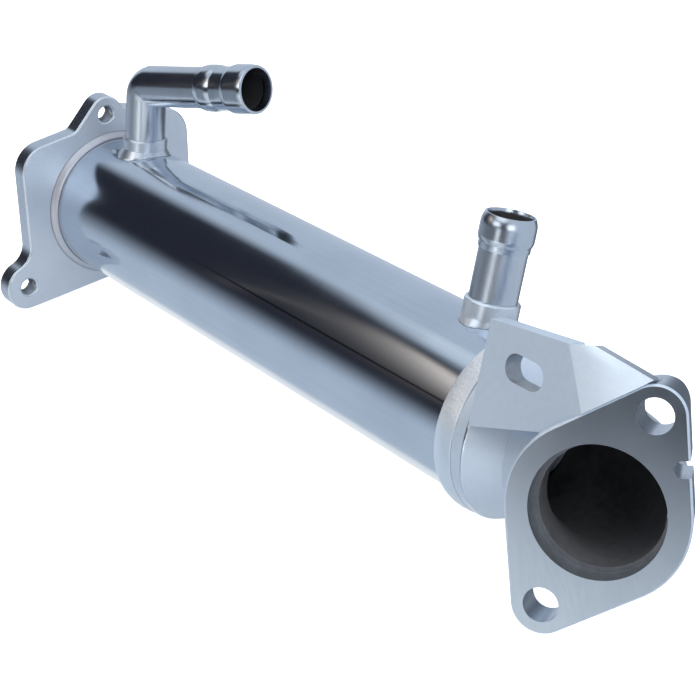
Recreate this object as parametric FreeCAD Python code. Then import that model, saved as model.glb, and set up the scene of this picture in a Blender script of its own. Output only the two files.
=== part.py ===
# EGR cooler: gas tubes in a round coolant jacket, between a three-eared inlet flange and a cast outlet
# elbow. Millimetres. The origin is the centre of the inlet flange's mating face, +X runs along the
# jacket towards the outlet and +Z is up.
import FreeCAD, Part
import math
import os

V = FreeCAD.Vector

# Fits
braze_gap = 0.05        # round a piece that is brazed or welded into another
socket_end_gap = 0.5    # between the jacket's end and the bottom of the casting's socket

# Jacket tube
shell_od = 56.0
shell_wall = 1.5
casting_start_x = 249.0

# Inlet flange
inlet_thick = 8.0
inlet_lip_thick = 2.5
inlet_lip_depth = 2.5   # how far the lip reaches in below the jacket's end
inlet_edge_chamfer = 0.7
inlet_left_y = -40.6
inlet_left_corner_z = 19.9
inlet_left_corner_r = 11.5
inlet_right_y = 37.2
inlet_right_corner_z = 22.7
inlet_right_corner_r = 12.5
inlet_top_ear_y = -1.1
inlet_top_ear_z = 38.1
inlet_top_ear_r = 7.5
inlet_low_ear_y = 42.8
inlet_low_ear_z = -27.0
inlet_low_ear_r = 9.5
inlet_arch_margin = 4.6     # of plate below the jacket
inlet_arch_r = 60.0

# Inward blends beside the ears: radius, straight run up to the ear, and place round it in degrees
top_left_blend_r = 4.0
top_left_blend_run = 12.0
top_left_blend_angle = 183.0
top_right_blend_r = 5.0
top_right_blend_run = 1.6
top_right_blend_angle = 29.4
low_blend_r = 8.5
low_blend_run = 0.6
tapped_hole_d = 6.6
tapped_mouth_d = 8.2

# Gas tube bundle
bundle_rings = 2        # rings of tubes round the middle one
gas_tube_wall = 0.6
tube_ligament = 2.5
rim_ligament = 1.5
header_thick = 2.5
tube_proud = 1.0
header_inset = 2.0      # both tube plates stand back from the jacket's ends
baffle_thick = 1.5
baffle_count = 2
baffle_rim_gap = 0.3

# Coolant spigots
pipe_od = 16.0
pipe_wall = 0.8
pipe_foot_inset = 0.5   # how far the foot stays outside the jacket's bore
elbow_x = 30.0
elbow_lean_angle = 6.2  # degrees towards +Y
elbow_corner_height = 54.5
elbow_reach = 60.0
elbow_yaw_angle = 12.8
elbow_rise_angle = 9.6
elbow_bend_r = 5.0
straight_setback = 16.0 # from the casting's rear edge
straight_height = 62.3

# Hose ends. Heights are above the pipe's surface, lengths follow one another back from the mouth
land_height = 0.45
elbow_rim_height = 1.1
elbow_flare_depth = 3.4
elbow_flare_height = 1.5
elbow_bead_height = 1.42
elbow_bead_fall = 3.0
elbow_bead_flat = 5.7
elbow_bead_rise = 2.7
elbow_land = 5.9
stop_height = 1.05
stop_fall = 1.7
stop_flat = 5.5
stop_rise = 1.3
stop_step_height = 0.5
straight_rim_height = 0.1
straight_flare_depth = 1.5
straight_flare_height = 0.3
straight_bead_height = 1.1
straight_bead_fall = 3.6
straight_bead_flat = 3.6
straight_bead_rise = 2.2
straight_land = 1.7

# Collars round the spigots' feet
elbow_collar_od = 17.8
elbow_collar_height = 6.0
elbow_collar_flare = 0.9
straight_collar_od = 18.4
straight_collar_height = 6.6
straight_collar_flare = 0.45
collar_chamfer = 0.7
collar_flare_height = 1.5

# Weld beads
bead_leg = 3.4
bead_bulge = 1.0
outlet_bead_back = 3.0
outlet_bead_over = 1.8
outlet_bead_bulge = 1.7

# Outlet casting, turned about the jacket's axis
casting_roll = 13.6     # degrees, its upright leans towards +Y
socket_depth = 7.5
socket_wall = 2.1
socket_ring_length = 9.2    # on the jacket's axis
socket_ring_slant = 8.2     # degrees, the ring's front edge is longer on the outlet's side
socket_lead = 1.4           # chamfer that the outlet bead fills
cone_length = 24.0          # from the casting's rear edge to the neck
casting_wall = 4.5
gas_bore_d = 37.0
elbow_start = 36.3      # from the casting's rear edge
gas_bend_r = 24.0
gas_bend_angle = 60.0
outlet_run = 15.2       # straight stretch from the bend to the outlet face
outlet_seat_d = 40.0
outlet_seat_depth = 7.0

# Outlet flange
outlet_thick = 11.5
outlet_body_r = 27.0
outlet_ear_r = 9.0
outlet_hole_circle_d = 66.8
outlet_hole_d = 10.6
outlet_tilt = 16.3      # the ears' line from the casting's upright
outlet_edge_chamfer = 0.6
notch_width = 5.0
notch_depth = 4.8
notch_along = 13.1

# Bracket lug, part of the casting. Its x sizes are counted from the casting's rear edge
lug_stand_off = 0.3         # its face beyond the socket's ring
lug_thick = 6.4
lug_left = 14.2
lug_left_low_z = 6.2
lug_left_top_z = 40.0
lug_low = 42.0
lug_low_z = 15.6
lug_bend = 45.5
lug_bend_z = 43.7
lug_low_step = 3.8
lug_root_depth = 16.0
lug_root_top = 22.0
lug_root_fall = 5.3
lug_slot_width = 8.6
lug_slot_length = 15.6
lug_slot_along = 31.4
lug_slot_z = 29.7
wing_thick = 7.5
wing_peak_across = -12.2    # in the outlet flange's plane
wing_peak_up = 45.5
wing_end_across = 6.6
wing_end_up = 41.8

# Worked out from the above
shell_r = shell_od / 2
shell_bore_r = shell_r - shell_wall
shell_start_x = inlet_lip_thick
shell_end_x = casting_start_x + socket_depth - socket_end_gap
straight_x = casting_start_x - straight_setback
inlet_opening_r = shell_r - inlet_lip_depth
inlet_arch_z = -(shell_r + inlet_arch_margin)
tube_pitch = (shell_bore_r - rim_ligament + tube_ligament / 2) / (bundle_rings + 0.5)
gas_tube_r = (tube_pitch - tube_ligament) / 2
ring_r = shell_r + socket_wall
lug_face_y = -(ring_r + lug_stand_off)
lug_left_x = casting_start_x + lug_left
lug_low_x = casting_start_x + lug_low
lug_bend_x = casting_start_x + lug_bend
lug_slot_x = casting_start_x + lug_slot_along
pipe_r = pipe_od / 2
gas_bore_r = gas_bore_d / 2
upright = V(0, 0, 1)
origin = V(0, 0, 0)
casting_frame = FreeCAD.Placement(origin, FreeCAD.Rotation(V(1, 0, 0), -casting_roll))
casting_upright = casting_frame.Rotation.multVec(upright)
flange_plane = FreeCAD.Rotation(V(0, 1, 0), V(0, 0, 1), V(1, 0, 0))


# A copy of a shape, turned and then moved
def placed(shape, base, rotation):
    copy = shape.copy()
    copy.Placement = FreeCAD.Placement(base, rotation).multiply(copy.Placement)
    return copy


# A copy of a shape built in the casting's frame, turned with the casting
def in_casting(shape):
    copy = shape.copy()
    copy.Placement = casting_frame.multiply(copy.Placement)
    return copy


# Rotation that takes +X to a direction
def aim(direction):
    return FreeCAD.Rotation(V(1, 0, 0), direction)


# Round bar along a direction
def rod(radius, base, direction, length):
    return Part.makeCylinder(radius, length, base, direction)


# Solid of revolution about X from (x, r) points; four numbers make an arc through (x, r) to (x, r)
def turned(start, *steps):
    edges = []
    here = V(start[0], start[1], 0)
    for step in list(steps) + [start]:
        there = V(step[-2], step[-1], 0)
        if len(step) == 4:
            edges.append(Part.Arc(here, V(step[0], step[1], 0), there).toShape())
        elif here.distanceToPoint(there) > 1e-6:
            edges.append(Part.makeLine(here, there))
        here = there
    face = Part.Face(Part.Wire(edges))
    return face.revolve(origin, V(1, 0, 0), 360)


# Closed outline in XY round circles (centre, radius), anticlockwise, with tangent lines between them.
# A negative radius bends the outline inward
def belt(circles):
    headings = []
    for index, (centre, radius) in enumerate(circles):
        next_centre, next_radius = circles[(index + 1) % len(circles)]
        run = next_centre - centre
        heading = math.atan2(run.y, run.x)
        headings.append(heading - math.acos((radius - next_radius) / run.Length))
    edges = []
    for index, (centre, radius) in enumerate(circles):
        next_centre, next_radius = circles[(index + 1) % len(circles)]
        before = headings[index - 1]
        after = headings[index]
        sweep = (after - before) % (2 * math.pi)
        if radius < 0:
            sweep = sweep - 2 * math.pi
        points = [centre + radial(before + sweep * part) * radius for part in (0, 0.5, 1)]
        edges.append(Part.Arc(*points).toShape())
        edges.append(Part.makeLine(points[2], next_centre + radial(after) * next_radius))
    return Part.Wire(edges)


# Unit vector in XY at an angle in radians
def radial(angle):
    return V(math.cos(angle), math.sin(angle), 0)


# Plate from XY up to its thickness, with chamfered rims
def plate(outline, thickness, top_chamfer, foot_chamfer):
    solid = Part.Face(outline).extrude(V(0, 0, thickness))
    rims = [(thickness, top_chamfer), (0, foot_chamfer)]
    for height, chamfer in rims:
        if chamfer > 0:
            edges = [edge for edge in solid.Edges
                     if abs(edge.BoundBox.ZMin - height) < 0.001
                     and abs(edge.BoundBox.ZMax - height) < 0.001]
            solid = solid.makeChamfer(chamfer, edges)
    return solid


# Centre of an inward blend beside an ear, at an angle in radians round the ear's centre
def blend_centre(ear, ear_r, blend_r, run, angle):
    return ear + radial(angle) * math.hypot(ear_r + blend_r, run)


# Centre of the blend above a low ear that also touches the flange's upright edge
def low_blend_centre(ear, edge_y):
    reach = math.hypot(inlet_low_ear_r + low_blend_r, low_blend_run)
    level = edge_y + math.copysign(low_blend_r, ear.x)
    angle = math.acos((level - ear.x) / reach)
    return blend_centre(ear, inlet_low_ear_r, low_blend_r, low_blend_run, angle)


# Centres of the flange's three ears and tapped holes, in its plane: top, low left and low right
def ear_places():
    return (V(inlet_top_ear_y, inlet_top_ear_z, 0), V(-inlet_low_ear_y, inlet_low_ear_z, 0),
            V(inlet_low_ear_y, inlet_low_ear_z, 0))


# Inlet flange, cut from plate, with its bore, the lip that stops the jacket and the tapped holes
def make_inlet_flange():
    top_ear, left_ear, right_ear = ear_places()
    right_corner = V(inlet_right_y - inlet_right_corner_r, inlet_right_corner_z, 0)
    left_corner = V(inlet_left_y + inlet_left_corner_r, inlet_left_corner_z, 0)
    right_blend = blend_centre(top_ear, inlet_top_ear_r, top_right_blend_r, top_right_blend_run,
                               math.radians(top_right_blend_angle))
    left_blend = blend_centre(top_ear, inlet_top_ear_r, top_left_blend_r, top_left_blend_run,
                              math.radians(top_left_blend_angle))
    circles = [
        (right_corner, inlet_right_corner_r),
        (right_blend, -top_right_blend_r),
        (top_ear, inlet_top_ear_r),
        (left_blend, -top_left_blend_r),
        (left_corner, inlet_left_corner_r),
        (low_blend_centre(left_ear, inlet_left_y), -low_blend_r),
        (left_ear, inlet_low_ear_r),
        (V(0, inlet_arch_z - inlet_arch_r, 0), -inlet_arch_r),
        (right_ear, inlet_low_ear_r),
        (low_blend_centre(right_ear, inlet_right_y), -low_blend_r),
    ]
    body = plate(belt(circles), inlet_thick, inlet_edge_chamfer, inlet_edge_chamfer)
    body = body.cut(rod(inlet_opening_r, origin, upright, inlet_thick))
    socket_height = inlet_thick - inlet_lip_thick
    body = body.cut(rod(shell_r + braze_gap, V(0, 0, inlet_lip_thick), upright, socket_height))
    mouth_r = tapped_mouth_d / 2
    hole_r = tapped_hole_d / 2
    mouth_depth = mouth_r - hole_r
    for place in ear_places():
        body = body.cut(rod(hole_r, place, upright, inlet_thick))
        body = body.cut(Part.makeCone(mouth_r, hole_r, mouth_depth, place, upright))
        top = place + V(0, 0, inlet_thick)
        body = body.cut(Part.makeCone(mouth_r, hole_r, mouth_depth, top, V(0, 0, -1)))
    return placed(body, origin, flange_plane)


# Directions of the elbow spigot's two legs
def elbow_legs():
    lean = math.radians(elbow_lean_angle)
    rise = math.radians(elbow_rise_angle)
    yaw = math.radians(elbow_yaw_angle)
    leg = V(0, math.sin(lean), math.cos(lean))
    reach = V(math.cos(rise) * math.cos(yaw), math.cos(rise) * math.sin(yaw), math.sin(rise))
    return leg, reach


# Jacket tube with the two holes that the spigots' feet pass through
def make_shell():
    leg = elbow_legs()[0]
    length = shell_end_x - shell_start_x
    tube = rod(shell_r, V(shell_start_x, 0, 0), V(1, 0, 0), length)
    tube = tube.cut(rod(shell_bore_r, V(shell_start_x, 0, 0), V(1, 0, 0), length))
    tube = tube.cut(rod(pipe_r + braze_gap, V(elbow_x, 0, 0), leg, shell_od))
    return tube.cut(rod(pipe_r + braze_gap, V(straight_x, 0, 0), casting_upright, shell_od))


# Places of the gas tubes on a triangular grid
def tube_places():
    places = []
    for row in range(-bundle_rings, bundle_rings + 1):
        count = 2 * bundle_rings + 1 - abs(row)
        for column in range(count):
            across = (column - (count - 1) / 2) * tube_pitch
            places.append(V(0, across, row * tube_pitch * math.sqrt(3) / 2))
    return places


# Faces of the inlet and the outlet header along X
def header_faces():
    return shell_start_x + header_inset, shell_end_x - header_inset


# Holes for the tubes through a plate that starts at x
def drilled(solid, x, thickness, places):
    for place in places:
        hole = rod(gas_tube_r + braze_gap, V(x, place.y, place.z), V(1, 0, 0), thickness)
        solid = solid.cut(hole)
    return solid


# Tube plate that starts at x
def make_header(x):
    disc = rod(shell_bore_r - braze_gap, V(x, 0, 0), V(1, 0, 0), header_thick)
    return drilled(disc, x, header_thick, tube_places())


# Segment plate that leaves its lowest or highest row of tubes open to the coolant
def make_baffle(x, open_side):
    places = tube_places()
    chord = (bundle_rings - 0.5) * tube_pitch * math.sqrt(3) / 2
    disc = rod(shell_bore_r - baffle_rim_gap, V(x, 0, 0), V(1, 0, 0), baffle_thick)
    window = Part.makeBox(baffle_thick, shell_od, shell_od, V(x, -shell_r, chord))
    if open_side < 0:
        window = Part.makeBox(baffle_thick, shell_od, shell_od, V(x, -shell_r, -chord - shell_od))
    held = [place for place in places if place.z * open_side < chord]
    return drilled(disc.cut(window), x, baffle_thick, held)


# One gas tube, proud of both headers
def make_gas_tube(place):
    inlet_x, outlet_x = header_faces()
    start = V(inlet_x - tube_proud, place.y, place.z)
    length = outlet_x + tube_proud - start.x
    tube = rod(gas_tube_r, start, V(1, 0, 0), length)
    return tube.cut(rod(gas_tube_r - gas_tube_wall, start, V(1, 0, 0), length))


# Middle of the arc that leaves (x, r) low and runs out level at high
def eased(low, high):
    across = high[0] - low[0]
    rise = high[1] - low[1]
    radius = (across ** 2 + rise ** 2) / (2 * rise)
    centre = V(high[0], high[1] - radius, 0)
    start = V(low[0], low[1], 0) - centre
    angle = (math.atan2(start.y, start.x) + math.pi / 2) / 2
    middle = centre + radial(angle) * radius
    return middle.x, middle.y


# Hose end as a solid about X: a raised land and the bead, ending at the mouth
def hose_end(mouth_x, rim_height, bead_height, fall, flat, rise, land):
    rim = (mouth_x, pipe_r + rim_height)
    bead_end = (mouth_x - fall, pipe_r + bead_height)
    bead_start = (bead_end[0] - flat, bead_end[1])
    land_end = (bead_start[0] - rise, pipe_r + land_height)
    land_start = (land_end[0] - land, land_end[1])
    return turned((land_start[0], 0), (land_start[0] - land_height, pipe_r), land_start, land_end,
                  (*eased(land_end, bead_start), *bead_start), bead_end,
                  (*eased(rim, bead_end), *rim), (mouth_x, 0))


# Hose stop behind a land that starts at x: a sharp step, a rounded crest and a long fall
def hose_stop(land_x):
    land = (land_x, pipe_r + land_height)
    crest_end = (land_x - stop_fall, pipe_r + stop_height)
    crest_start = (crest_end[0] - stop_flat, crest_end[1])
    step = (crest_start[0] - stop_rise, pipe_r + stop_step_height)
    return turned((step[0], 0), step, (*eased(step, crest_start), *crest_start), crest_end,
                  (*eased(land, crest_end), *land), (land_x, 0))


# Flare inside a mouth at x, opening to +X
def mouth_flare(mouth_x, depth, height):
    bore_r = pipe_r - pipe_wall
    return Part.makeCone(bore_r, bore_r + height, depth, V(mouth_x - depth, 0, 0), V(1, 0, 0))


# Solid bar round the elbow spigot's route: two legs and a bend whose inner corner is all but sharp
def elbow_bar(radius, foot_height, leg, reach):
    foot = V(elbow_x, 0, 0) + leg * foot_height
    corner = V(elbow_x, 0, 0) + leg * elbow_corner_height
    turn = leg.getAngle(reach)
    setback = elbow_bend_r * math.tan(turn / 2)
    axis = leg.cross(reach)
    axis.normalize()
    side = axis.cross(leg)
    bend_start = corner - leg * setback
    bend_end = corner + reach * setback
    pivot = bend_start + side * elbow_bend_r
    legs = mitred_legs(radius, foot, corner, corner + reach * elbow_reach, leg)
    wedge = rod(elbow_bend_r + 2 * pipe_od, pivot - axis * pipe_od, axis, 2 * pipe_od)
    wedge = wedge.common(half_space(bend_start, leg)).common(half_space(bend_end, reach * -1))
    disc = Part.Face(Part.Wire(Part.makeCircle(radius, bend_start, leg)))
    outer_half = half_space(pivot, side * -1)
    bend = disc.common(outer_half).revolve(pivot, axis, math.degrees(turn))
    return legs.cut(wedge).fuse(bend).removeSplitter()


# Two round legs that meet at a mitre
def mitred_legs(radius, start, corner, end, leg):
    path = Part.makePolygon([start, corner, end])
    disc = Part.Wire(Part.makeCircle(radius, start, leg))
    shell = Part.BRepOffsetAPI.MakePipeShell(path)
    shell.setTransitionMode(1)
    shell.add(disc)
    shell.build()
    shell.makeSolid()
    return shell.shape()


# Large block on the side of a plane that its direction points to
def half_space(point, direction):
    size = 8 * pipe_od
    block = Part.makeBox(size, size, size, V(0, -size / 2, -size / 2))
    return placed(block, point, aim(direction))


# Coolant spigot with a tight bend near the inlet flange
def make_elbow_pipe():
    leg, reach = elbow_legs()
    foot_height = shell_bore_r - pipe_foot_inset
    corner = V(elbow_x, 0, 0) + leg * elbow_corner_height
    end = hose_end(elbow_reach, elbow_rim_height, elbow_bead_height, elbow_bead_fall, elbow_bead_flat,
                   elbow_bead_rise, elbow_land)
    land_x = elbow_reach - elbow_bead_fall - elbow_bead_flat - elbow_bead_rise - elbow_land
    outer = elbow_bar(pipe_r, foot_height, leg, reach)
    for form in (end, hose_stop(land_x)):
        outer = outer.fuse(placed(form, corner, aim(reach)))
    bore = elbow_bar(pipe_r - pipe_wall, foot_height, leg, reach)
    flare = mouth_flare(elbow_reach, elbow_flare_depth, elbow_flare_height)
    return outer.cut(bore).cut(placed(flare, corner, aim(reach)))


# Straight coolant spigot near the casting
def make_straight_pipe():
    foot_height = shell_bore_r - pipe_foot_inset
    length = straight_height - foot_height
    bar = rod(pipe_r, V(foot_height, 0, 0), V(1, 0, 0), length)
    bar = bar.fuse(hose_end(straight_height, straight_rim_height, straight_bead_height,
                            straight_bead_fall, straight_bead_flat, straight_bead_rise, straight_land))
    bar = bar.cut(rod(pipe_r - pipe_wall, V(foot_height, 0, 0), V(1, 0, 0), length))
    bar = bar.cut(mouth_flare(straight_height, straight_flare_depth, straight_flare_height))
    return placed(bar, V(straight_x, 0, 0), aim(casting_upright))


# Collar round a spigot's foot, with a flared skirt that sits on the jacket
def make_collar(od, height, flare, x, direction):
    collar_r = od / 2
    top = shell_r + height
    flare_top = shell_r + collar_flare_height
    skirt_low = math.sqrt(shell_r ** 2 - (collar_r + 3 * flare) ** 2)
    slope = flare / collar_flare_height
    skirt_r = collar_r + (flare_top - skirt_low) * slope
    bore_r = pipe_r + braze_gap
    collar = turned((skirt_low, bore_r), (skirt_low, skirt_r), (flare_top, collar_r),
                    (top - collar_chamfer, collar_r), (top, collar_r - collar_chamfer), (top, bore_r))
    collar = placed(collar, V(x, 0, 0), aim(direction))
    return collar.cut(rod(shell_r + braze_gap, V(x - shell_r, 0, 0), V(1, 0, 0), shell_od))


# Fillet weld between the jacket and the inlet flange's inner face
def make_inlet_weld():
    low = shell_r + braze_gap
    crown = bead_leg / 2 + bead_bulge * math.sqrt(0.5)
    return turned((inlet_thick, low), (inlet_thick, low + bead_leg),
                  (inlet_thick + crown, low + crown, inlet_thick + bead_leg, low))


# Weld that fills the chamfer between the jacket and the casting's rear edge
def make_outlet_weld():
    low = shell_r + braze_gap
    start = casting_start_x - outlet_bead_back
    end = casting_start_x + socket_lead + outlet_bead_over
    mid_x = (start + end) / 2
    mid_r = (low + ring_r) / 2
    span = math.hypot(end - start, ring_r - low)
    mid_x -= outlet_bead_bulge * (ring_r - low) / span
    mid_r += outlet_bead_bulge * (end - start) / span
    return turned((start, low), (casting_start_x, low), (casting_start_x, ring_r - socket_lead),
                  (casting_start_x + socket_lead, ring_r), (end, ring_r), (mid_x, mid_r, start, low))


# Stations of the gas passage: bend start, bend end and outlet face, and the way out
def gas_route():
    angle = math.radians(gas_bend_angle)
    bend_start = V(casting_start_x + elbow_start, 0, 0)
    outward = V(math.cos(angle), -math.sin(angle), 0)
    bend_end = bend_start + V(math.sin(angle), math.cos(angle) - 1, 0) * gas_bend_r
    outlet = bend_end + outward * outlet_run
    return bend_start, bend_end, outlet, outward


# Bar round the bend and the straight run to the outlet face
def gas_bend(radius):
    bend_start, bend_end, outlet, outward = gas_route()
    disc = Part.Face(Part.Wire(Part.makeCircle(radius, bend_start, V(1, 0, 0))))
    pivot = bend_start - V(0, gas_bend_r, 0)
    bend = disc.revolve(pivot, V(0, 0, -1), gas_bend_angle)
    return bend.fuse(rod(radius, bend_end, outward, outlet_run))


# Rotation from the outlet flange's own plane: x across, y up, z out of its face
def outlet_rotation():
    outward = gas_route()[3]
    return FreeCAD.Rotation(upright.cross(outward), upright, outward)


# Outlet flange with two ears, its front face at z = 0
def outlet_flange_plate():
    line = radial(math.radians(90 - outlet_tilt))
    ear = line * (outlet_hole_circle_d / 2)
    circles = [(ear, outlet_ear_r), (origin, outlet_body_r), (ear * -1, outlet_ear_r),
               (origin, outlet_body_r)]
    body = plate(belt(circles), outlet_thick, outlet_edge_chamfer, 0)
    side = flange_edge_normal(-1)
    along = V(-side.y, side.x, 0)
    end_centre = side * (outlet_body_r - notch_depth + notch_width / 2) + along * notch_along
    notch = rod(notch_width / 2, end_centre, upright, outlet_thick)
    channel = Part.makeBox(outlet_body_r, notch_width, outlet_thick, V(0, -notch_width / 2, 0))
    notch = notch.fuse(placed(channel, end_centre, aim(side)))
    return body.cut(notch).translated(V(0, 0, -outlet_thick))


# Outward normal of the straight edge between the body and the upper ear, left (+1) or right (-1)
def flange_edge_normal(side):
    spread = math.acos((outlet_body_r - outlet_ear_r) / (outlet_hole_circle_d / 2))
    return radial(math.radians(90 - outlet_tilt) + side * spread)


# The two bolt holes, as bars in the outlet flange's plane
def outlet_hole_bars():
    line = radial(math.radians(90 - outlet_tilt)) * (outlet_hole_circle_d / 2)
    bars = []
    for side in (1, -1):
        bars.append(rod(outlet_hole_d / 2, line * side - V(0, 0, outlet_thick * 2), upright, outlet_thick * 3))
    return bars


# Upper end of the bend between the lug's side plate and its wing, in the casting's frame
def lug_bend_top():
    return V(lug_bend_x, lug_face_y, lug_bend_z)


# Depth of the wing's face behind the outlet face, which it leaves at the flange's left straight edge
def on_wing(point):
    edge = flange_edge_normal(1)
    bend_top = into_flange(lug_bend_top())
    slope = bend_top.z / (V(bend_top.x, bend_top.y, 0).dot(edge) - outlet_body_r)
    return V(point.x, point.y, slope * (point.dot(edge) - outlet_body_r))


# A point of the casting's frame in the outlet flange's frame
def into_flange(point):
    outlet = gas_route()[2]
    return outlet_rotation().inverted().multVec(point - outlet)


# Where the flange's left straight edge crosses the lug's face, in the flange's frame
def wing_low_end():
    edge = flange_edge_normal(1)
    outlet = gas_route()[2]
    across = outlet_rotation().multVec(V(1, 0, 0))
    x = (lug_face_y - outlet.y) / across.y
    return V(x, (outlet_body_r - edge.x * x) / edge.y, 0)


# Bent bracket lug: side plate with its slot, the root that ties it to the neck, and the sloped wing
def make_lug():
    low_end = wing_low_end()
    outlet = gas_route()[2]
    bend_low = outlet_rotation().multVec(low_end) + outlet
    corners = [
        V(lug_left_x, lug_face_y, lug_left_low_z),
        V(lug_low_x, lug_face_y, lug_low_z),
        V(bend_low.x - lug_low_step, lug_face_y, lug_low_z + lug_low_step),
        bend_low,
        lug_bend_top(),
        V(lug_left_x, lug_face_y, lug_left_top_z),
    ]
    side_plate = Part.Face(Part.makePolygon(corners + corners[:1])).extrude(V(0, lug_thick, 0))
    root = lug_root(corners[0], corners[1])
    edge = flange_edge_normal(1)
    ear_line = radial(math.radians(90 - outlet_tilt)) * (outlet_hole_circle_d / 2)
    ear_touch = ear_line + edge * outlet_ear_r
    wing_peak = V(wing_peak_across, wing_peak_up, 0)
    wing_end = V(wing_end_across, wing_end_up, 0)
    flat_points = [into_flange(lug_bend_top()), wing_peak, wing_end, ear_touch, low_end]
    points = [on_wing(point) for point in flat_points]
    face = Part.Face(Part.makePolygon(points + points[:1]))
    normal = (points[1] - points[0]).cross(points[2] - points[0])
    normal.normalize()
    if normal.z > 0:
        normal = normal * -1
    wing = placed(face.extrude(normal * wing_thick), outlet, outlet_rotation())
    lug = side_plate.fuse(root).fuse(wing)
    return lug.cut(lug_slot())


# Web behind the side plate's foot, sloping down onto the neck
def lug_root(low_left, low_right):
    back = lug_face_y + lug_thick
    section = [
        V(low_left.x, lug_face_y, 0),
        V(low_left.x, lug_face_y, lug_root_top),
        V(low_left.x, back, lug_root_top),
        V(low_left.x, lug_face_y + lug_root_depth, lug_root_top - lug_root_fall),
        V(low_left.x, lug_face_y + lug_root_depth, 0),
    ]
    length = low_right.x - low_left.x
    block = Part.Face(Part.makePolygon(section + section[:1])).extrude(V(length, 0, 0))
    below = [V(low_left.x, lug_face_y, low_left.z), V(low_right.x, lug_face_y, low_right.z),
             V(low_right.x, lug_face_y, low_left.z - lug_root_top),
             V(low_left.x, lug_face_y, low_left.z - lug_root_top)]
    trim = Part.Face(Part.makePolygon(below + below[:1])).extrude(V(0, lug_root_depth, 0))
    return block.cut(trim)


# Slot through the side plate, along X
def lug_slot():
    radius = lug_slot_width / 2
    half = lug_slot_length / 2 - radius
    base = V(lug_slot_x, lug_face_y - lug_thick, lug_slot_z)
    depth = lug_thick * 3
    slot = Part.makeBox(2 * half, depth, lug_slot_width, base - V(half, 0, radius))
    for side in (-1, 1):
        slot = slot.fuse(rod(radius, base + V(side * half, 0, 0), V(0, 1, 0), depth))
    return slot


# Outside of the socket's ring and of the cone from its slanted front edge to the neck
def socket_and_cone(neck_r):
    slant = math.radians(socket_ring_slant)
    rear = casting_start_x
    edge_centre = V(rear + socket_ring_length, 0, 0)
    edge_normal = V(math.cos(slant), math.sin(slant), 0)
    neck_x = rear + cone_length
    ring = turned((rear, 0), (rear, ring_r - socket_lead), (rear + socket_lead, ring_r), (neck_x, ring_r),
                  (neck_x, 0))
    ring = ring.cut(half_space(edge_centre, edge_normal))
    long_tip = edge_centre + V(math.sin(slant), -math.cos(slant), 0) * (ring_r / math.cos(slant))
    edge = Part.Ellipse(long_tip, edge_centre - upright * ring_r, edge_centre).toShape()
    neck = Part.Circle(V(neck_x, 0, 0), V(1, 0, 0), neck_r).toShape()
    neck.rotate(origin, V(1, 0, 0), 90)
    cone = Part.makeLoft([Part.Wire(edge), Part.Wire(neck)], True, True)
    return ring.fuse(cone)


# Outlet casting in one piece: socket, cone, elbow, flange and lug
def make_outlet_housing():
    bend_start, bend_end, outlet, outward = gas_route()
    neck_r = gas_bore_r + casting_wall
    rear = casting_start_x
    neck_x = rear + cone_length
    outer = socket_and_cone(neck_r)
    outer = outer.fuse(rod(neck_r, V(neck_x, 0, 0), V(1, 0, 0), bend_start.x - neck_x))
    outer = outer.fuse(gas_bend(neck_r))
    outer = outer.fuse(placed(outlet_flange_plate(), outlet, outlet_rotation()))
    outer = outer.fuse(make_lug())
    socket_end = rear + socket_depth
    hollow = turned((rear, 0), (rear, shell_r + braze_gap), (socket_end, shell_r + braze_gap),
                    (socket_end, shell_bore_r), (neck_x, gas_bore_r), (bend_start.x, gas_bore_r),
                    (bend_start.x, 0))
    hollow = hollow.fuse(gas_bend(gas_bore_r))
    hollow = hollow.fuse(rod(outlet_seat_d / 2, outlet, outward * -1, outlet_seat_depth))
    body = outer.cut(hollow)
    for bar in outlet_hole_bars():
        body = body.cut(placed(bar, outlet, outlet_rotation()))
    return in_casting(body.removeSplitter())


# Every piece by its name
def make_pieces():
    inlet_header_x, outlet_header_x = header_faces()
    pieces = {
        "inlet_flange": make_inlet_flange(),
        "inlet_weld": make_inlet_weld(),
        "shell_tube": make_shell(),
        "outlet_weld": make_outlet_weld(),
        "outlet_housing": make_outlet_housing(),
        "elbow_pipe": make_elbow_pipe(),
        "elbow_collar": make_collar(elbow_collar_od, elbow_collar_height, elbow_collar_flare, elbow_x,
                                    elbow_legs()[0]),
        "straight_pipe": make_straight_pipe(),
        "straight_collar": make_collar(straight_collar_od, straight_collar_height,
                                       straight_collar_flare, straight_x, casting_upright),
        "inlet_header": make_header(inlet_header_x),
        "outlet_header": make_header(outlet_header_x - header_thick),
    }
    for index in range(baffle_count):
        share = (index + 1) / (baffle_count + 1)
        x = elbow_x + (straight_x - elbow_x) * share
        pieces[f"baffle_{index + 1}"] = make_baffle(x, -1 if index % 2 == 0 else 1)
    for index, place in enumerate(tube_places()):
        pieces[f"gas_tube_{index + 1:02d}"] = make_gas_tube(place)
    return pieces


os.makedirs("parts", exist_ok=True)
for name, shape in make_pieces().items():
    shape.exportStep(f"parts/{name}.step")
    print(name, "solids", len(shape.Solids), "valid", shape.isValid(), "volume", round(shape.Volume, 1))
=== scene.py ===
import math

import bmesh
import bpy
from mathutils import Matrix, Vector, noise


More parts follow.
